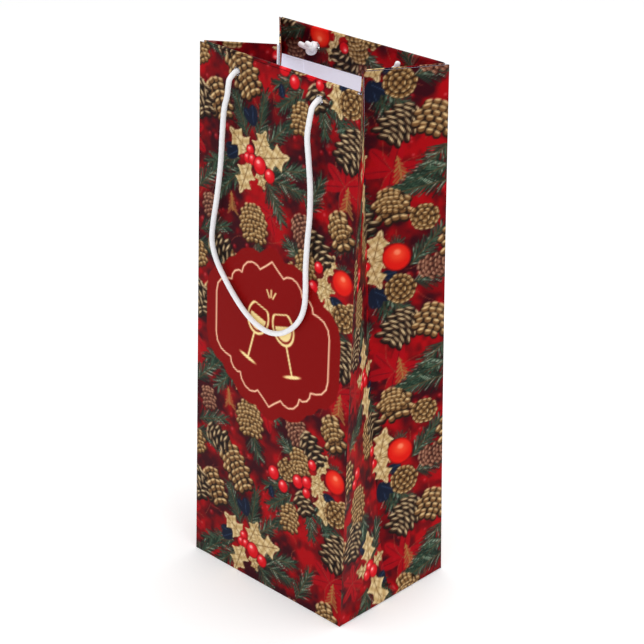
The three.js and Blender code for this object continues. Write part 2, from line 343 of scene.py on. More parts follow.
def mottled_print_material():
    """The dark red ground of the print, for the folded flaps underneath."""
    material, nodes, links, shader = new_material("printed_ground")
    noise = add_noise(nodes, links, 90, 5)
    ramp = nodes.new("ShaderNodeValToRGB")
    ramp.color_ramp.elements[0].position = 0.35
    ramp.color_ramp.elements[0].color = (0.045, 0.001, 0.004, 1)
    ramp.color_ramp.elements[1].position = 0.62
    ramp.color_ramp.elements[1].color = (0.3, 0.004, 0.01, 1)
    gold = ramp.color_ramp.elements.new(0.72)
    gold.color = (0.45, 0.3, 0.14, 1)
    links.new(noise.outputs["Fac"], ramp.inputs["Fac"])
    links.new(ramp.outputs["Color"], shader.inputs["Base Color"])
    shader.inputs["Roughness"].default_value = PRINT_ROUGHNESS
    shader.inputs["Specular IOR Level"].default_value = PRINT_SPECULAR
    tooth = add_noise(nodes, links, 700, 2)
    add_bump(nodes, links, shader, tooth.outputs["Fac"], 0.1, FLAP_TOOTH_DEPTH)
    return material


# ---- cords


def spline(points, step):
    """A smooth curve through the points (Catmull-Rom), sampled about every step metres."""
    points = np.asarray(points, float)
    padded = np.vstack([2 * points[0] - points[1], points, 2 * points[-1] - points[-2]])
    samples = []
    for before, start, end, after in zip(padded, padded[1:], padded[2:], padded[3:]):
        count = max(1, round(np.linalg.norm(end - start) / step))
        t = np.linspace(0, 1, count, endpoint=False)[:, None]
        samples.append(0.5 * (
            2 * start + (end - before) * t
            + (2 * before - 5 * start + 4 * end - after) * t ** 2
            + (3 * start - before - 3 * end + after) * t ** 3
        ))
    samples.append(points[-1:])
    return np.vstack(samples)


def tube(name, line, material):
    """A twisted cord of strands along the line, with rounded ends."""
    count = len(line)
    tangents = np.gradient(line, axis=0)
    tangents /= np.linalg.norm(tangents, axis=1)[:, None]
    normal = np.cross(tangents[0], (0.3, 0.5, 0.8))
    normals = []
    for tangent in tangents:
        normal = normal - tangent * (normal @ tangent)
        normal = normal / np.linalg.norm(normal)
        normals.append(normal)
    normals = np.array(normals)
    binormals = np.cross(tangents, normals)
    travelled = np.concatenate([[0], np.cumsum(np.linalg.norm(np.diff(line, axis=0), axis=1))])
    radius = CORD_DIAMETER / 2
    from_end = np.minimum(travelled, travelled[-1] - travelled)
    rounding = np.sqrt(np.clip(1 - (1 - np.clip(from_end / radius, 0, 1)) ** 2, CORD_END_FLAT, 1))
    angles = np.linspace(0, 2 * math.pi, RING_SIDES, endpoint=False)
    strands = CORD_STRANDS * (angles[None, :] - 2 * math.pi * travelled[:, None] / CORD_TWIST_LENGTH)
    radii = radius * (1 - CORD_RIDGE + CORD_RIDGE * np.abs(np.cos(strands / 2))) * rounding[:, None]
    outward = np.cos(angles)[None, :, None] * normals[:, None, :]
    outward = outward + np.sin(angles)[None, :, None] * binormals[:, None, :]
    rings = line[:, None, :] + radii[:, :, None] * outward
    faces = []
    for ring in range(count - 1):
        here, beyond = ring * RING_SIDES, (ring + 1) * RING_SIDES
        for j in range(RING_SIDES):
            k = (j + 1) % RING_SIDES
            faces.append((here + j, here + k, beyond + k, beyond + j))
    faces.append(tuple(range(RING_SIDES))[::-1])
    faces.append(tuple((count - 1) * RING_SIDES + j for j in range(RING_SIDES)))
    return add_mesh(name, rings.reshape(-1, 3), faces, [material])


def add_mesh(name, points, faces, materials):
    mesh = bpy.data.meshes.new(name)
    mesh.from_pydata(np.asarray(points).tolist(), [], faces)
    for material in materials:
        mesh.materials.append(material)
    mesh.shade_smooth()
    piece = bpy.data.objects.new(name, mesh)
    bpy.context.scene.collection.objects.link(piece)
    return piece


def cord_point(face, across, up, proud):
    return place(face, across * MM, up * MM, -proud * MM)


def add_cord(face, route, material):
    """A handle: from one hole down to the bottom of its loop and up to the other hole."""
    first, last = route[0][0], route[-1][0]
    stations = [(first, up, proud) for up, proud in CORD_START]
    stations += route
    stations += [(last, up, proud) for up, proud in CORD_START[::-1]]
    line = spline([cord_point(face, *station) for station in stations], RING_STEP)
    cord = tube(face + "_cord_loop", line, material)
    tuple(place(face, 0.0, CORD_BLEND_START, 0.0))
    tuple(place(face, 0.0, CORD_BLEND_END, 0.0))
    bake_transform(cord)
    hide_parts(face + "_cord")
    length = float(np.linalg.norm(np.diff(line, axis=0), axis=1).sum())
    return cord, line, length


def add_knot(face, name, across, tail_direction, material):
    """An overhand knot inside the mouth: cord from the hole, a trefoil, and a short tail."""
    across_sign = math.copysign(1, across)
    t = np.linspace(KNOT_OPENING, 2 * math.pi - KNOT_OPENING, KNOT_SAMPLES)
    trefoil = KNOT_SCALE * np.stack([
        across_sign * (np.sin(t) + 2 * np.sin(2 * t)),
        np.cos(t) - 2 * np.cos(2 * t),
        -KNOT_FLATTEN * np.sin(3 * t),
    ], axis=1)
    centre = np.array([across, HOLE_UP, KNOT_INWARD])
    stub = np.array([across, HOLE_UP, KNOT_STUB_START])
    body = trefoil + centre
    tail_end = centre + np.array(tail_direction) / np.linalg.norm(tail_direction) * TAIL_LENGTH
    turns = body[::KNOT_SAMPLES_PER_STATION]
    stations = [stub, (stub + body[0]) / 2, *turns, (body[-1] + tail_end) / 2, tail_end]
    line = spline([place(face, *station) for station in stations], RING_STEP)
    knot = tube(name + "_tied", line, material)
    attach(knot, face + "_panel")
    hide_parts(name)
    return knot


# ---- the print, painted at the points of a grid

PRINT_PERIOD = 124.5
PRINT_SEED = 11
EDGE_SOFTNESS = 0.6
RED_DARK = (52, 0, 12)
RED_MID = (112, 0, 8)
RED_BRIGHT = (162, 0, 10)
PETAL_RED = (164, 0, 16)
# Rim, face and gap of a scale, then the height and width of a scale
CONE_WARM = ((226, 192, 138), (124, 86, 50), (34, 18, 10), 3.7, 4.6)
CONE_DARK = ((222, 194, 148), (58, 36, 24), (18, 10, 8), 3.0, 5.6)
CONE_ROSE = ((194, 144, 114), (108, 62, 48), (46, 18, 14), 2.5, 3.0)
CONE_LIGHT = ((224, 190, 136), (136, 98, 56), (52, 30, 14), 2.6, 3.0)
FIR_TONES = ((14, 26, 20), (32, 52, 40), (66, 90, 70), (168, 184, 160))
LEAF_TONES = ((188, 156, 104), (112, 80, 44), (222, 198, 150))
STEM_BROWN = (84, 60, 38)
NAVY = (16, 24, 44)
NAVY_VEIN = (62, 84, 116)
BERRY = (205, 12, 24)
BERRY_RIM = (110, 0, 12)
BERRY_SHEEN = (240, 70, 76)
BERRY_LIGHT = (255, 176, 170)
BAUBLE = (214, 22, 12)
BAUBLE_RIM = (128, 4, 6)
BAUBLE_SHEEN = (238, 74, 44)
BAUBLE_LIGHT = (246, 130, 96)
TREE_GOLD = (158, 112, 58)
TWIG = (150, 84, 54)
PLAQUE = (128, 0, 0)
FRAME_PEACH = (250, 202, 165)
ORNAMENT = (247, 222, 155)
WHITE_PAPER = (229, 228, 236)

# Sizes of what the print is made of, in millimetres and degrees. Inside a painter, a factor is a share
# of the motif's own size.
AREA_PER_BLURRED_BERRY = 190
AREA_PER_TWIG = 420
TWIG_STEPS = 7
PETALS = 6
TREE_ROWS = 6
NEEDLE_SPACING = 0.8
NEEDLE_SPREAD = (20, 62)
NEEDLE_LENGTH = (5.5, 12)
NEEDLE_TAPER = 0.4
NEEDLE_HALF_WIDTHS = (0.3, 0.14)
TUFT_NEEDLES = 14
LEAF_BORDER = 0.7
MOTIF_REACH = 36


def covered(depth):
    """How much of a point is covered, from its depth inside a shape's edge."""
    return np.clip(depth / EDGE_SOFTNESS + 0.5, 0, 1)


class Canvas:
    """Painted colours at the grid points of one face: u across and v up, in millimetres."""

    def __init__(self, us, vs):
        self.us = np.asarray(us)
        self.vs = np.asarray(vs)
        self.rgb = np.zeros((len(us), len(vs), 3))

    def window(self, u, v, reach):
        i, i_end = np.searchsorted(self.us, (u - reach, u + reach))
        j, j_end = np.searchsorted(self.vs, (v - reach, v + reach))
        return slice(i, i_end), slice(j, j_end)

    def is_near(self, u, v, reach):
        """Whether (u, v) is on the face or within reach of it."""
        near_u = self.us[0] - reach <= u <= self.us[-1] + reach
        return near_u and self.vs[0] - reach <= v <= self.vs[-1] + reach

    def local(self, window, u, v, turn):
        """Coordinates about (u, v), turned clockwise so that y points along turn."""
        du = self.us[window[0]][:, None] - u
        dv = self.vs[window[1]][None, :] - v
        c, s = math.cos(math.radians(turn)), math.sin(math.radians(turn))
        return du * c - dv * s, du * s + dv * c

    def mix(self, window, cover, color):
        part = self.rgb[window]
        self.rgb[window] = part + (np.asarray(color, float) - part) * cover[..., None]

    def ellipse(self, u, v, turn, half_wide, half_long, color, strength=1.0, softness=EDGE_SOFTNESS):
        window = self.window(u, v, max(half_wide, half_long) + softness)
        x, y = self.local(window, u, v, turn)
        distance = np.hypot(x / half_wide, y / half_long)
        cover = strength * np.clip((1 - distance) * min(half_wide, half_long) / softness + 0.5, 0, 1)
        self.mix(window, cover, color)

    def line(self, start, end, half_width, color, strength=1.0):
        middle = ((start[0] + end[0]) / 2, (start[1] + end[1]) / 2)
        half_length = max(1e-6, math.hypot(end[0] - start[0], end[1] - start[1]) / 2)
        turn = math.degrees(math.atan2(end[0] - start[0], end[1] - start[1]))
        window = self.window(*middle, half_length + half_width + EDGE_SOFTNESS)
        x, y = self.local(window, *middle, turn)
        distance = np.hypot(x, np.clip(np.abs(y) - half_length, 0, None))
        cover = strength * covered(half_width - distance)
        self.mix(window, cover, color)


def step_from(u, v, turn, across, along):
    """The point across and along from (u, v) in a frame turned clockwise by turn degrees."""
    c, s = math.cos(math.radians(turn)), math.sin(math.radians(turn))
    return u + across * c + along * s, v - across * s + along * c


def cloud(us, vs, cell, rng):
    """Smooth random values from 0 to 1 with patches about cell millimetres wide."""
    us, vs = np.asarray(us) / cell, np.asarray(vs) / cell
    us, vs = us - us.min(), vs - vs.min()
    lattice = rng.random((int(us.max()) + 2, int(vs.max()) + 2))
    i, j = us.astype(int), vs.astype(int)
    a, b = smooth(us - i)[:, None], smooth(vs - j)[None, :]
    low = lattice[np.ix_(i, j)] * (1 - a) + lattice[np.ix_(i + 1, j)] * a
    high = lattice[np.ix_(i, j + 1)] * (1 - a) + lattice[np.ix_(i + 1, j + 1)] * a
    return low * (1 - b) + high * b


def paint_ground(canvas, rng):
    """Mottled dark and bright reds with blurred berries and fine twigs."""
    tone = 0.45 * cloud(canvas.us, canvas.vs, 16, rng) + 0.35 * cloud(canvas.us, canvas.vs, 7, rng)
    tone = tone + 0.2 * cloud(canvas.us, canvas.vs, 3, rng)
    share = smooth((tone - 0.3) / 0.25)[..., None]
    dark, mid, bright = (np.array(c, float) for c in (RED_DARK, RED_MID, RED_BRIGHT))
    canvas.rgb[:] = dark + (mid - dark) * share
    share = smooth((tone - 0.5) / 0.22)[..., None]
    canvas.rgb += (bright - canvas.rgb) * share
    area = (canvas.us[-1] - canvas.us[0]) * (canvas.vs[-1] - canvas.vs[0])
    for _ in range(int(area / AREA_PER_BLURRED_BERRY)):
        u = rng.uniform(canvas.us[0], canvas.us[-1])
        v = rng.uniform(canvas.vs[0], canvas.vs[-1])
        radius = rng.uniform(1.0, 2.4)
        glint = 0.4 * radius
        canvas.ellipse(u, v, 0, radius, radius, RED_BRIGHT, 0.6, 1.4)
        canvas.ellipse(u - 0.3 * radius, v + 0.3 * radius, 0, glint, glint, BERRY_LIGHT, 0.3, 1.0)
    for _ in range(int(area / AREA_PER_TWIG)):
        u = rng.uniform(canvas.us[0], canvas.us[-1])
        v = rng.uniform(canvas.vs[0], canvas.vs[-1])
        paint_twig(canvas, rng, u, v, rng.uniform(0, 360), rng.uniform(8, 16))


def paint_twig(canvas, rng, u, v, turn, length):
    bend = rng.uniform(-14, 14)
    for _ in range(TWIG_STEPS):
        end = step_from(u, v, turn, 0, length / TWIG_STEPS)
        canvas.line((u, v), end, 0.2, TWIG, 0.55)
        u, v = end
        turn += bend


def paint_poinsettia(canvas, rng, u, v, turn, size):
    for k in range(PETALS):
        angle = turn + 360 / PETALS * k + rng.uniform(-8, 8)
        length = size * rng.uniform(0.8, 1.1)
        centre = step_from(u, v, angle, 0, length * 0.5)
        canvas.ellipse(*centre, angle, size * 0.2, length * 0.5, PETAL_RED, 0.85)
        canvas.line((u, v), step_from(u, v, angle, 0, length * 0.9), 0.25, RED_DARK, 0.5)
    for k in range(4):
        paint_twig(canvas, rng, u, v, turn + 90 * k + 30, size)


def paint_tree(canvas, rng, u, v, turn, size):
    canvas.line(step_from(u, v, turn, 0, -size / 2), step_from(u, v, turn, 0, size / 2), 0.35, TREE_GOLD)
    for row in range(TREE_ROWS):
        up = size * (0.4 - row * 0.15)
        reach = size * (0.07 + 0.062 * row)
        for side in (-1, 1):
            tip = step_from(u, v, turn, side * reach, up - reach * 0.9)
            canvas.line(step_from(u, v, turn, 0, up), tip, 0.6, TREE_GOLD, rng.uniform(0.6, 0.95))


def paint_fir(canvas, rng, u, v, turn, length):
    """A sprig: a bending stem with needles on both sides, dark underneath and pale on top."""
    bend = rng.uniform(-0.7, 0.7)
    count = int(length / NEEDLE_SPACING)
    for tone_shift in (0, 1):
        for k in range(count):
            share = k / count
            angle = turn + bend * share * length
            base = step_from(u, v, turn + bend * share * length / 2, 0, share * length)
            for side in (-1, 1):
                spread = rng.uniform(*NEEDLE_SPREAD) * (1 - NEEDLE_TAPER * share)
                reach = rng.uniform(*NEEDLE_LENGTH) * (1 - NEEDLE_TAPER * share)
                tone = FIR_TONES[min(3, tone_shift + int(rng.random() < 0.4) + int(rng.random() < 0.3))]
                tip = step_from(*base, angle + side * spread, 0, reach)
                canvas.line(base, tip, NEEDLE_HALF_WIDTHS[tone_shift], tone, 0.9)
    canvas.line((u, v), step_from(u, v, turn + bend * length / 2, 0, length), 0.35, STEM_BROWN, 0.8)


def paint_navy(canvas, rng, u, v, turn, size):
    for k in range(3):
        angle = turn + rng.uniform(-50, 50)
        centre = step_from(u, v, angle, 0, size * 0.35)
        canvas.ellipse(*centre, angle, size * 0.3, size * 0.55, NAVY, 0.95)
        canvas.line((u, v), step_from(u, v, angle, 0, size * 0.8), 0.2, NAVY_VEIN, 0.7)


def paint_leaf(canvas, rng, u, v, turn, length):
    """A dry gold holly leaf with a spiny edge and dark veins; (u, v) is where it joins the stem."""
    light, vein, pale = LEAF_TONES
    half_wide = length * 0.36
    middle = step_from(u, v, turn, 0, length / 2)
    window = canvas.window(*middle, length * 0.75)
    x, y = canvas.local(window, u, v, turn)
    share = np.clip(y / length, 0, 1)
    spine = (np.abs(((share * 3) % 1) - 0.5) * 2) ** 1.7
    edge = half_wide * np.sin(math.pi * share ** 0.85) ** 0.85 * (0.48 + 0.6 * spine)
    in_length = (y > 0) * (y < length)
    inside = covered(edge - np.abs(x)) * in_length
    border = np.clip((edge + LEAF_BORDER - np.abs(x)) / EDGE_SOFTNESS, 0, 1) * in_length
    shade = (0.5 + 0.5 * np.sin(share * 3.5 * 2 * math.pi + np.abs(x) * 0.9))[..., None]
    tone = np.array(light) + (np.array(pale) - np.array(light)) * shade
    canvas.mix(window, border * 0.6, vein)
    canvas.mix(window, inside, tone)
    canvas.line((u, v), step_from(u, v, turn, 0, length * 0.92), 0.3, vein, 0.9)
    for k in range(1, 5):
        base = step_from(u, v, turn, 0, length * 0.19 * k)
        for side in (-1, 1):
            reach = half_wide * 0.95 * math.sin(math.pi * 0.2 * k) + 0.6
            tip = step_from(*base, turn + side * 48, 0, reach)
            canvas.line(base, tip, 0.16, vein, 0.75)


def paint_cone(canvas, rng, u, v, turn, length, width, tones):
    """A pine cone from the side: rows of scales, each with a pale rim under a dark gap."""
    light, mid, dark, pitch, scale_width = tones
    canvas.ellipse(u, v, turn, width / 2, length / 2, dark)
    rows = max(4, round(length / pitch))
    for row in reversed(range(rows)):
        along = 1 - (2 * row + 1) / rows
        half = width / 2 * math.sqrt(1 - (0.88 * along) ** 2)
        count = max(2, round(2 * half / scale_width))
        for k in range(count + row % 2):
            across = ((k + 0.5 - 0.5 * (row % 2)) / count * 2 - 1) * half
            lean = -38 * across / half + rng.uniform(-8, 8)
            lift = 0.09 * width * (across / half) ** 2
            x = across + rng.normal(0, 0.25)
            y = along * length / 2 + lift + rng.normal(0, 0.25)
            wide = scale_width * rng.uniform(0.42, 0.56)
            gap = step_from(u, v, turn, x, y + 0.1 * pitch)
            face = step_from(u, v, turn, x, y - 0.1 * pitch)
            rim = step_from(u, v, turn, x, y - 0.42 * pitch)
            canvas.ellipse(*gap, turn + lean, wide * 1.15, pitch * 0.62, dark)
            canvas.ellipse(*face, turn + lean, wide * 0.92, pitch * 0.42, mid, 0.9)
            canvas.ellipse(*rim, turn + lean, wide * 0.85, pitch * 0.19, light, rng.uniform(0.7, 1.0))


def paint_rosette(canvas, rng, u, v, turn, radius, tones):
    """A pine cone from its end: rings of petals round the middle."""
    light, mid, dark, pitch, scale_width = tones
    canvas.ellipse(u, v, turn, radius, radius, dark)
    rings = max(3, round(radius / pitch))
    for ring in range(rings):
        at = radius * (1 - (ring + 0.35) / rings)
        count = max(4, round(2 * math.pi * at / scale_width))
        for k in range(count):
            angle = turn + 360 * (k + 0.5 * (ring % 2)) / count + rng.uniform(-6, 6)
            centre = step_from(u, v, angle, rng.normal(0, 0.2), at + rng.normal(0, 0.2))
            canvas.ellipse(*centre, angle, scale_width * 0.52, pitch * 0.6, dark)
            canvas.ellipse(*centre, angle, scale_width * 0.42, pitch * 0.42, mid, 0.9)
            rim = step_from(*centre, angle, 0, 0.3 * pitch)
            canvas.ellipse(*rim, angle, scale_width * 0.36, 0.4, light, 0.9)


def paint_berry(canvas, rng, u, v, radius):
    canvas.ellipse(u, v, 0, radius, radius * 1.08, BERRY_RIM)
    canvas.ellipse(u, v, 0, radius * 0.9, radius * 0.97, BERRY)
    half = radius * 0.5
    canvas.ellipse(u - 0.2 * radius, v + 0.25 * radius, 0, half, half, BERRY_SHEEN, 0.75, radius * 0.4)
    glint = (u - 0.25 * radius, v + 0.35 * radius)
    canvas.ellipse(*glint, 0, radius * 0.24, radius * 0.2, BERRY_LIGHT, 0.95)


def paint_bauble(canvas, rng, u, v, radius):
    """A glass ball with a tuft of needles behind its top."""
    for k in range(TUFT_NEEDLES):
        angle = -75 + 150 * (k + rng.random()) / TUFT_NEEDLES
        base = step_from(u, v, 0, 0, radius * 0.8)
        tip = step_from(*base, angle, 0, rng.uniform(4, 7))
        canvas.line(base, tip, 0.28, FIR_TONES[1 + k % 2], 0.9)
    canvas.ellipse(u, v, 0, radius, radius * 1.03, BAUBLE_RIM)
    canvas.ellipse(u, v, 0, radius * 0.92, radius * 0.95, BAUBLE, 1.0, 1.2)
    sheen = (u + 0.05 * radius, v + 0.2 * radius)
    canvas.ellipse(*sheen, 0, radius * 0.55, radius * 0.5, BAUBLE_SHEEN, 0.8, radius * 0.5)
    glint = (u + 0.05 * radius, v + 0.35 * radius)
    canvas.ellipse(*glint, 0, radius * 0.22, radius * 0.2, BAUBLE_LIGHT, 0.9, 1.2)


# The order in which a print's motifs are laid over each other
PAINTERS = {
    "poinsettia": paint_poinsettia,
    "tree": paint_tree,
    "fir": paint_fir,
    "navy": paint_navy,
    "leaf": paint_leaf,
    "cone": paint_cone,
    "rosette": paint_rosette,
    "berry": paint_berry,
    "bauble": paint_bauble,
}
# Motif, place across and up in one repeat of the print, then its painter's own sizes
FRONT_PRINT = [
    ("poinsettia", 53, 26, 10, 17), ("poinsettia", -2, 118, 40, 12),
    ("tree", 55, 19, 4, 14), ("tree", -34, 117, -8, 11),
    ("fir", -28, 20, -104, 28), ("fir", -26, 14, -128, 26),
    ("fir", -14, 34, 14, 28), ("fir", -22, 34, -26, 26),
    ("fir", -8, 32, 42, 22), ("fir", -2, 20, 74, 26),
    ("fir", -3, 15, 98, 24), ("fir", -6, 12, 146, 24),
    ("fir", 18, 78, -108, 20), ("fir", 22, 68, -150, 24),
    ("fir", 20, 72, -128, 22), ("fir", 33, 74, 162, 24),
    ("fir", 40, 74, 146, 22), ("fir", 27, 96, -58, 18),
    ("fir", -62, 118, 38, 26), ("fir", -60, 92, 62, 24),
    ("fir", -62, 84, 100, 20), ("fir", -13, 99, 160, 14),
    ("fir", 26, 3, 28, 24), ("fir", 62, 122, -120, 14),
    ("fir", 62, 60, -100, 12),
    ("navy", -30, 24, -80, 11), ("navy", -18, 44, -20, 11),
    ("navy", 47, 82, 130, 9), ("navy", 3, 70, 160, 7),
    ("leaf", -19, 24, -56, 22), ("leaf", -13, 24, 74, 25),
    ("leaf", -15, 25, 24, 18), ("leaf", -20, 20, -160, 22),
    ("leaf", -14, 18, 150, 13), ("leaf", 38, 78, 12, 18),
    ("leaf", 41, 94, 24, 16), ("leaf", 43, 82, 164, 20),
    ("leaf", 36, 88, 96, 13),
    ("cone", -28, 72, 142, 33, 19, CONE_WARM), ("cone", -16, 109, 174, 23, 21, CONE_LIGHT),
    ("cone", -46, 51, 152, 24, 17, CONE_WARM), ("cone", -61, 47, 160, 22, 17, CONE_DARK),
    ("cone", -44, 86, 100, 19, 13, CONE_DARK), ("cone", -62, 76, 160, 16, 13, CONE_LIGHT),
    ("cone", -52, 109, 170, 15, 12, CONE_ROSE), ("cone", 23, 116, 152, 19, 16, CONE_ROSE),
    ("cone", 35, 108, 142, 22, 14, CONE_DARK), ("rosette", 16, 87, 0, 7, CONE_LIGHT),
    ("cone", 26, 96, 168, 18, 14, CONE_LIGHT), ("cone", 30, 70, 156, 15, 11, CONE_DARK),
    ("cone", 19, 56, 184, 19, 14, CONE_LIGHT), ("rosette", 55, 73, 0, 8.3, CONE_LIGHT),
    ("cone", 57, 48, 212, 26, 17, CONE_DARK), ("cone", 51, 124, 160, 23, 15, CONE_WARM),
    ("cone", 49, 1, 150, 14, 12, CONE_LIGHT),
    ("berry", 5, 81, 4.6), ("berry", 13, 75, 4.0), ("berry", 25, 83, 4.4), ("berry", 32, 85, 4.0),
    ("berry", 36, 98, 3.4), ("berry", 32, 78, 3.2),
    ("berry", -20, 27, 3.2), ("berry", -22, 22, 3.2),
    ("berry", -18, 22, 3.4), ("berry", -12, 20, 5.2), ("berry", -4, 16, 4.2),
    ("bauble", 54, 94, 7.6),
]
# Across is the distance round the corner from the front edge of a gusset
GUSSET_PRINT = [
    ("poinsettia", 60, 20, 20, 19), ("poinsettia", 12, 24, 50, 12),
    ("tree", 64, 21, -10, 15), ("tree", 10, 120, 4, 12),
    ("fir", 70, 86, 46, 28), ("fir", 72, 76, 82, 22),
    ("fir", 52, 70, 166, 22), ("fir", 56, 70, 140, 18),
    ("fir", 90, 34, -142, 32), ("fir", 92, 22, -118, 34),
    ("fir", 90, 12, -100, 26), ("fir", 24, 66, 168, 24),
    ("fir", 30, 34, -16, 26), ("fir", 34, 30, 24, 22),
    ("fir", 34, 16, 152, 22), ("fir", 26, 14, -160, 18),
    ("fir", 4, 116, 60, 18), ("fir", 40, 104, 20, 14), ("fir", 4, 66, 130, 16),
    ("navy", 55, 82, 90, 8), ("navy", 49, 72, 150, 12),
    ("navy", 28, 38, -30, 10), ("navy", 38, 14, 100, 8),
    ("leaf", 48, 88, 14, 22), ("leaf", 46, 92, 160, 20),
    ("leaf", 50, 90, 84, 14), ("leaf", 30, 28, 2, 22),
    ("leaf", 29, 24, -66, 14), ("leaf", 33, 20, 172, 24), ("leaf", 34, 25, 70, 13),
    ("cone", 64, 48, 220, 26, 18, CONE_DARK), ("cone", 83, 50, 200, 21, 20, CONE_WARM),
    ("cone", 60, 123, 168, 20, 20, CONE_WARM), ("rosette", 78, 115, 0, 8, CONE_LIGHT),
    ("rosette", 64, 72, 0, 9, CONE_LIGHT), ("cone", 84, 84, 80, 19, 13, CONE_ROSE),
    ("cone", 36, 109, 176, 25, 15, CONE_LIGHT), ("cone", 43, 114, 150, 16, 12, CONE_DARK),
    ("cone", 19, 73, 178, 24, 17, CONE_LIGHT), ("cone", 13, 51, 190, 24, 16, CONE_DARK),
    ("cone", 58, 2, 176, 15, 14, CONE_LIGHT), ("cone", 4, 98, 170, 20, 13, CONE_WARM),
    ("berry", 31, 26, 4.4), ("berry", 34, 22, 4.2), ("berry", 27, 22, 3.4), ("berry", 18, 94, 4.2),
    ("berry", 14, 89, 3.4), ("berry", 42, 97, 3.2), ("berry", 44, 88, 3.0),
    ("bauble", 62, 92, 8.4),
]
# The back is cut from another place of the same print, and each face has its own ground
PRINT_SHIFTS = {"front": (0, 0), "back": (-25, -8)}
PANEL_SEEDS = {"front": 0, "back": 1}
GUSSET_SEEDS = {1: 2, -1: 3}


def paint_print(canvas, layout, seed, shift=(0, 0), repeat_across=WIDTH / MM):
    """The whole print on one face: the ground, then every motif at each repeat that reaches the face."""
    paint_ground(canvas, np.random.default_rng((PRINT_SEED, seed)))
    for kind, painter in PAINTERS.items():
        for index, (motif, u, v, *sizes) in enumerate(layout):
            if motif != kind:
                continue
            for row in range(-1, 4):
                for column in (-1, 0, 1):
                    at_u = u + shift[0] + column * repeat_across
                    at_v = v + shift[1] + row * PRINT_PERIOD
                    if not canvas.is_near(at_u, at_v, MOTIF_REACH):
                        continue
                    painter(canvas, np.random.default_rng((PRINT_SEED, index)), at_u, at_v, *sizes)


# The plaque in the middle of the front: a quarter of its frame, mirrored both ways, in millimetres
PLAQUE_CENTRE = (0, 168.5)
PLAQUE_BORDER = 8.4
PLAQUE_REACH = 62
FRAME_HALF_WIDTH = 0.5
FRAME_QUARTER = [
    (0, 46), (4.5, 42.2), (9.5, 38.5), (12, 40.3), (16, 41), (20, 39.6), (23.3, 36), (24.5, 32), (27, 32.5),
    (30.3, 31), (32.5, 28), (33, 24.8), (37, 24.3), (41.5, 22.5), (44.8, 18.5), (46, 13), (46, 0),
]
GLASS_TILT = 16
GLASS_APART = 12.5
GLASS_BOWL = (8.2, 10.5)
GLASS_RIM_UP = 16.5
GLASS_WINE_UP = 9.5
GLASS_FOOT_DOWN = 21
GLASS_FOOT = (7, 1.1)
GLASS_LINE = 0.7
GLASS_WALL = 1.8
GLASS_REACH = 30
BOWL_BOTTOM = -2
SPARK_UP = 21
SPARK_SPREAD = 28
SPARK_START = 3
SPARK_LENGTH = 4.5


def paint_plaque(canvas):
    """A plain maroon plaque with a scalloped frame line and two glasses; it has no lettering."""
    u, v = PLAQUE_CENTRE
    window = canvas.window(u, v, PLAQUE_REACH)
    x, y = canvas.local(window, u, v, 0)
    x, y = np.abs(x), np.abs(y)
    quarter = np.array(FRAME_QUARTER, float)
    nearest = np.full(x.shape, np.inf)
    for start, end in zip(quarter, quarter[1:]):
        along = end - start
        dx, dy = x - start[0], y - start[1]
        share = np.clip((dx * along[0] + dy * along[1]) / (along @ along), 0, 1)
        nearest = np.minimum(nearest, np.hypot(dx - share * along[0], dy - share * along[1]))
    frame_angles = np.arctan2(quarter[:, 1], quarter[:, 0])[::-1]
    frame_reach = np.hypot(quarter[:, 0], quarter[:, 1])[::-1]
    inside = np.hypot(x, y) < np.interp(np.arctan2(y, x), frame_angles, frame_reach)
    outside_by = np.where(inside, 0, nearest)
    canvas.mix(window, covered(PLAQUE_BORDER - outside_by), PLAQUE)
    canvas.mix(window, covered(FRAME_HALF_WIDTH - nearest), FRAME_PEACH)
    for side in (-1, 1):
        paint_glass(canvas, u + side * GLASS_APART, v, -side * GLASS_TILT)
    for k in (-1, 0, 1):
        base = step_from(u, v + SPARK_UP, SPARK_SPREAD * k, 0, SPARK_START)
        canvas.line(base, step_from(*base, SPARK_SPREAD * k, 0, SPARK_LENGTH), 0.5, ORNAMENT)


def paint_glass(canvas, u, v, turn):
    """A wine glass in outline, half full, with its stem and foot."""
    window = canvas.window(u, v, GLASS_REACH)
    x, y = canvas.local(window, u, v, turn)
    half_wide, half_long = GLASS_BOWL
    middle = half_long + BOWL_BOTTOM
    bowl = (1 - np.hypot(x / half_wide, (y - middle) / half_long)) * half_wide
    below_rim = covered(GLASS_RIM_UP - y)
    below_wine = covered(GLASS_WINE_UP - y)
    outline = covered(GLASS_LINE - np.abs(bowl)) * below_rim
    wine = covered(bowl - GLASS_WALL) * below_wine
    canvas.mix(window, np.maximum(outline, wine), ORNAMENT)
    rim_half = half_wide * math.sqrt(1 - ((GLASS_RIM_UP - middle) / half_long) ** 2)
    rim_left = step_from(u, v, turn, -rim_half, GLASS_RIM_UP)
    canvas.line(rim_left, step_from(u, v, turn, rim_half, GLASS_RIM_UP), 0.45, ORNAMENT)
    foot = step_from(u, v, turn, 0, -GLASS_FOOT_DOWN)
    canvas.line(step_from(u, v, turn, 0, BOWL_BOTTOM), foot, 0.65, ORNAMENT)
    canvas.ellipse(*foot, turn, *GLASS_FOOT, ORNAMENT)


def linear(rgb):
    """Screen colours from 0 to 255 as scene-linear ones."""
    share = np.clip(np.asarray(rgb, float) / 255, 0, 1)
    return np.where(share <= 0.04045, share / 12.92, ((share + 0.055) / 1.055) ** 2.4)


# ---- sheets of paper and card

PRINTED, BARE = 0, 1


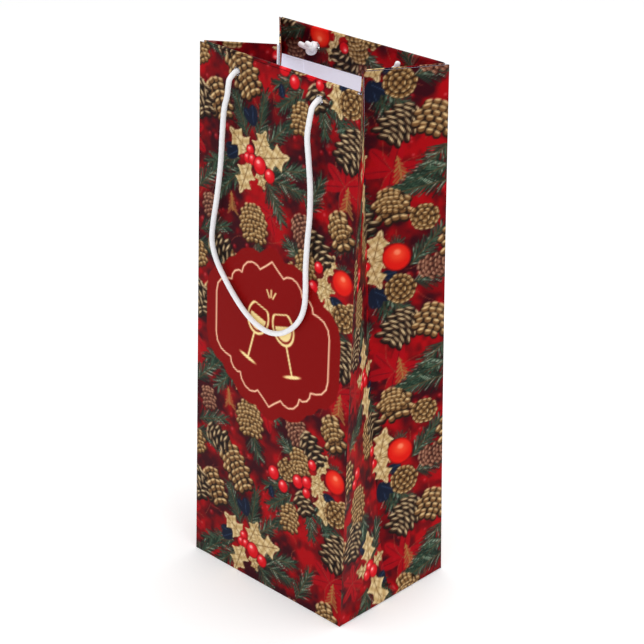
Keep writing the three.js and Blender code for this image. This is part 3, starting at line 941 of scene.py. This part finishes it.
class Sheet:
    """A thin piece built from gridded layers and the strips that close its edges."""

    def __init__(self):
        self.points, self.colors, self.faces, self.face_materials = [], [], [], []
        self.count = 0

    def add(self, points, colors, faces, material):
        self.points.append(points)
        self.colors.append(np.broadcast_to(colors, points.shape))
        self.faces.extend((faces + self.count).tolist())
        self.face_materials.extend([material] * len(faces))
        self.count += len(points)

    def layer(self, us, vs, to_world, colors, material, facing, holes=()):
        """One side of the sheet, in one colour or with one for each grid point.

        facing 1 keeps the grid's own winding and -1 turns it over."""
        u, v = (g.copy() for g in np.meshgrid(us, vs, indexing="ij"))
        kept = np.ones(u.shape, bool)
        step = us[1] - us[0]
        for hole_u, hole_v in holes:
            du, dv = u - hole_u, v - hole_v
            reach = np.hypot(du, dv)
            kept &= reach > HOLE_RADIUS - 0.5 * step
            rim = (reach > HOLE_RADIUS - 0.5 * step) & (reach < HOLE_RADIUS + 0.5 * step)
            u[rim] = hole_u + du[rim] / reach[rim] * HOLE_RADIUS
            v[rim] = hole_v + dv[rim] / reach[rim] * HOLE_RADIUS
        index = np.arange(u.size).reshape(u.shape)
        quads = np.stack([index[:-1, :-1], index[1:, :-1], index[1:, 1:], index[:-1, 1:]], axis=-1)
        whole = kept[:-1, :-1] & kept[1:, :-1] & kept[1:, 1:] & kept[:-1, 1:]
        quads = quads[whole][:, ::facing]
        self.add(to_world(u, v).reshape(-1, 3), np.reshape(colors, (-1, 3)), quads, material)

    def strip(self, line_a, line_b, material):
        """The band between two lines of the same number of points."""
        count = len(line_a)
        index = np.arange(count - 1)
        quads = np.stack([index, index + 1, index + 1 + count, index + count], axis=-1)
        self.add(np.vstack([line_a, line_b]), linear(RED_DARK), quads, material)

    def cut_sides(self, us, vs, near, far, material):
        """The two upright edge bands, where the sheet ends instead of going on round a crease."""
        for u in (us[0], us[-1]):
            self.strip(near(np.full(len(vs), u), vs), far(np.full(len(vs), u), vs), material)

    def cut_ends(self, us, vs, near, far, material):
        """The bands along the lower and upper edges."""
        for v in (vs[0], vs[-1]):
            self.strip(near(us, np.full(len(us), v)), far(us, np.full(len(us), v)), material)

    def build(self, name, materials):
        used = np.zeros(self.count, bool)
        for face in self.faces:
            used[face] = True
        renumber = np.cumsum(used) - 1
        points = np.vstack(self.points)[used]
        colors = np.vstack(self.colors)[used]
        faces = [[int(renumber[i]) for i in face] for face in self.faces]
        piece = add_mesh(name, points, faces, materials)
        piece.data.polygons.foreach_set("material_index", self.face_materials)
        layer = piece.data.attributes.new("print", "FLOAT_COLOR", "POINT")
        layer.data.foreach_set("color", np.hstack([colors, np.ones((len(colors), 1))]).ravel())
        return piece


def spaced(start, end, step):
    return np.linspace(start, end, max(2, round((end - start) / step) + 1))


def thinned(values):
    """Every few of the values, with the last."""
    return values[np.unique(np.append(np.arange(0, len(values) - 1, COARSE), len(values) - 1))]


def add_panel(face, materials):
    """The front or back leaf: fine printed outer face, plain inner face, edges and two cord holes."""
    us = spaced(-HALF_WIDTH, HALF_WIDTH, GRID_STEP)
    vs = spaced(PANEL_START, PAPER_TOP, GRID_STEP)
    canvas = Canvas(us / MM, vs / MM)
    paint_print(canvas, FRONT_PRINT, PANEL_SEEDS[face], PRINT_SHIFTS[face])
    if face == "front":
        paint_plaque(canvas)

    def outer(u, v):
        return place(face, u, v, bowed(u, v, 0))

    def inner(u, v):
        return place(face, u, v, bowed(u, v, PAPER))

    split = len(vs) - FINE_TOP_ROWS
    inset = (HALF_WIDTH - LEAF_INSET) / HALF_WIDTH
    sheet = Sheet()
    sheet.layer(us, vs, outer, linear(canvas.rgb), PRINTED, 1, HOLES)
    sheet.layer(thinned(us) * inset, thinned(vs[:split + 1]), inner, linear(WHITE_PAPER), BARE, -1)
    sheet.layer(us * inset, vs[split:], inner, linear(WHITE_PAPER), BARE, -1, HOLES)
    sheet.cut_ends(us, vs, outer, inner, PRINTED)
    panel = sheet.build(face + "_panel_paper", materials)
    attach(panel, face + "_panel")
    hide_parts(face + "_panel")


def leaf_name_and_turn(face, side):
    """The leaf's name by its side of the bag, and that side as its own panel sees it."""
    return ("right" if side > 0 else "left") + "_gusset_" + face, side if face == "front" else -side


def add_leaf(face, side, materials):
    """Half of a gusset, from the panel's corner to the middle crease."""
    name, turn = leaf_name_and_turn(face, side)
    alongs = spaced(0, HALF_DEPTH, GRID_STEP)
    vs = spaced(LEAF_START, PAPER_TOP, GRID_STEP)
    print_across = alongs if face == "front" else (DEPTH - alongs)[::-1]
    canvas = Canvas(print_across / MM, vs / MM)
    paint_print(canvas, GUSSET_PRINT, GUSSET_SEEDS[side], repeat_across=DEPTH / MM)
    rgb = canvas.rgb if face == "front" else canvas.rgb[::-1]

    def outer(a, v):
        return leaf_place(face, turn, a, v, 0)

    def inner(a, v):
        return leaf_place(face, turn, a, v, PAPER)

    columns = spaced(LEAF_INSET, HALF_DEPTH - CREASE_INSET, GRID_STEP * COARSE)
    sheet = Sheet()
    sheet.layer(alongs, vs, outer, linear(rgb), PRINTED, turn)
    sheet.layer(columns, thinned(vs), inner, linear(WHITE_PAPER), BARE, -turn)
    sheet.cut_ends(alongs, vs, outer, inner, PRINTED)
    leaf = sheet.build(name + "_paper", materials)
    finish_leaf(leaf, face, turn)
    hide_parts(name + "_upper", name + "_lower")


def finish_leaf(leaf, face, turn):
    """A gusset leaf keeps the place it was built in, baked into its points; its foot and head are worked
    out but not used.
    """
    foot = place(face, turn * HALF_WIDTH, 0.0, 0.0)
    head = place(face, turn * HALF_WIDTH, HEIGHT, 0.0)
    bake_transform(leaf)


def hem_profile(depth):
    """(inward, up, length along the paper) from the outer face, over the top edge and down inside."""
    radius = depth / 2
    bend = np.linspace(0, math.pi, HEM_BEND_STEPS + 1)
    inward = radius - radius * np.cos(bend)
    up = HEIGHT - radius + radius * np.sin(bend)
    down = spaced(0, HEM_HEIGHT - radius, GRID_STEP)[1:]
    inward = np.append(inward, np.full(len(down), depth))
    up = np.append(up, HEIGHT - radius - down)
    lengths = np.concatenate([[0], np.cumsum(np.hypot(np.diff(inward), np.diff(up)))])
    return inward, up, HEIGHT - radius + lengths


def add_hem(name, us, depth, paint, to_world, facing, holes, materials):
    """Paper turned in over the top edge, print side out, as one continuous strip."""
    inward, up, lengths = hem_profile(depth)
    top_end, top_middle = lengths[HEM_BEND_STEPS], lengths[HEM_BEND_STEPS // 2]
    canvas = Canvas(us / MM, lengths / MM)
    paint(canvas)

    def outer(u, v):
        return to_world(u, np.interp(v, lengths, up), np.interp(v, lengths, inward))

    def inner(u, v):
        lowered = np.interp(v, lengths, up) - PAPER * (v < top_end)
        drawn_in = np.interp(v, lengths, inward) - PAPER * (v > top_middle)
        return to_world(u, lowered, drawn_in)

    unfolded_holes = [(u, top_end + (up[HEM_BEND_STEPS] - v)) for u, v in holes]
    sheet = Sheet()
    sheet.layer(us, lengths, outer, linear(canvas.rgb), PRINTED, facing, unfolded_holes)
    sheet.layer(us, lengths, inner, linear(WHITE_PAPER), BARE, -facing, unfolded_holes)
    sheet.cut_sides(us, lengths, outer, inner, PRINTED)
    sheet.cut_ends(us, lengths, outer, inner, PRINTED)
    return sheet.build(name, materials)


def add_panel_hem(face, materials):
    us = spaced(-HEM_HALF_WIDTH, HEM_HALF_WIDTH, GRID_STEP)

    def paint(canvas):
        paint_print(canvas, FRONT_PRINT, PANEL_SEEDS[face], PRINT_SHIFTS[face])

    def to_world(u, v, inward):
        return place(face, u, v, bowed(u, v, inward))

    hem = add_hem(face + "_hem_paper", us, PANEL_HEM_DEPTH, paint, to_world, 1, HOLES, materials)
    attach(hem, face + "_panel")
    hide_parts(face + "_hem")


def add_leaf_hem(face, side, materials):
    name, turn = leaf_name_and_turn(face, side)
    alongs = spaced(LEAF_HEM_START, LEAF_HEM_END, GRID_STEP)
    across = alongs if face == "front" else DEPTH - alongs[::-1]

    def paint(canvas):
        paint_print(canvas, GUSSET_PRINT, GUSSET_SEEDS[side], repeat_across=DEPTH / MM)

    def to_world(a, v, inward):
        return leaf_place(face, turn, a if face == "front" else DEPTH - a, v, inward)

    hem = add_hem(name + "_hem_paper", across, LEAF_HEM_DEPTH, paint, to_world, side, (), materials)
    finish_leaf(hem, face, turn)
    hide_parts(name + "_hem")


def add_card(name, face, us, vs, layer, holes, material, replaced):
    """A flat strip of card or paper that lies inside a panel and moves with it."""

    def near(u, v):
        return place(face, u, v, bowed(u, v, layer[0]))

    def far(u, v):
        return place(face, u, v, bowed(u, v, layer[1]))

    sheet = Sheet()
    sheet.layer(us, vs, near, linear(WHITE_PAPER), 0, 1, holes)
    sheet.layer(us, vs, far, linear(WHITE_PAPER), 0, -1, holes)
    sheet.cut_sides(us, vs, near, far, 0)
    sheet.cut_ends(us, vs, near, far, 0)
    card = sheet.build(name, [material])
    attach(card, face + "_panel")
    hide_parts(replaced)


def finish_cad_piece(name, material):
    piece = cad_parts[name]
    piece.data.materials.clear()
    piece.data.materials.append(material)


# ---- the bag, piece by piece

add_camera()
cord_white = plain_material("cord_white", (0.83, 0.83, 0.85), 0.75, 500, 0.05)
# The inner paper glows at 0.24: painted light that brightens the shaded inside of the bag
plain_paper = plain_material("plain_paper", (0.79, 0.78, 0.84), 0.8, 300, 0.015, 0.24)
grey_card = plain_material("grey_card", (0.42, 0.38, 0.33), 0.9, 400, 0.12)
printed = printed_material()
ground = mottled_print_material()

for face, route in ROUTES.items():
    loop, line, length = add_cord(face, route, cord_white)
    knots = [
        add_knot(face, f"{face}_knot_{end}", across, tail, cord_white)
        for end, (across, tail) in KNOTS[face].items()
    ]

for face in ("front", "back"):
    add_panel(face, [printed, plain_paper])
    add_panel_hem(face, [printed, plain_paper])
    add_card(
        face + "_board_card", face, spaced(-BOARD_HALF_WIDTH, BOARD_HALF_WIDTH, MM),
        spaced(BOARD_BOTTOM, BOARD_TOP, MM), BOARD_LAYER, HOLES, grey_card, face + "_board",
    )
    for side in (-1, 1):
        add_leaf(face, side, [printed, plain_paper])
        add_leaf_hem(face, side, [printed, plain_paper])

for name in ("outer_flap", "inner_flap", "right_tab", "left_tab"):
    finish_cad_piece(name, ground)
finish_cad_piece("base_card", grey_card)
add_card(
    "glue_seam_paper", "back", spaced(SEAM_INNER, SEAM_OUTER, SEAM_STEP),
    spaced(SEAM_BOTTOM, SEAM_TOP, SEAM_STEP), SEAM_LAYER, (), plain_paper, "seam_tab",
)

add_studio()
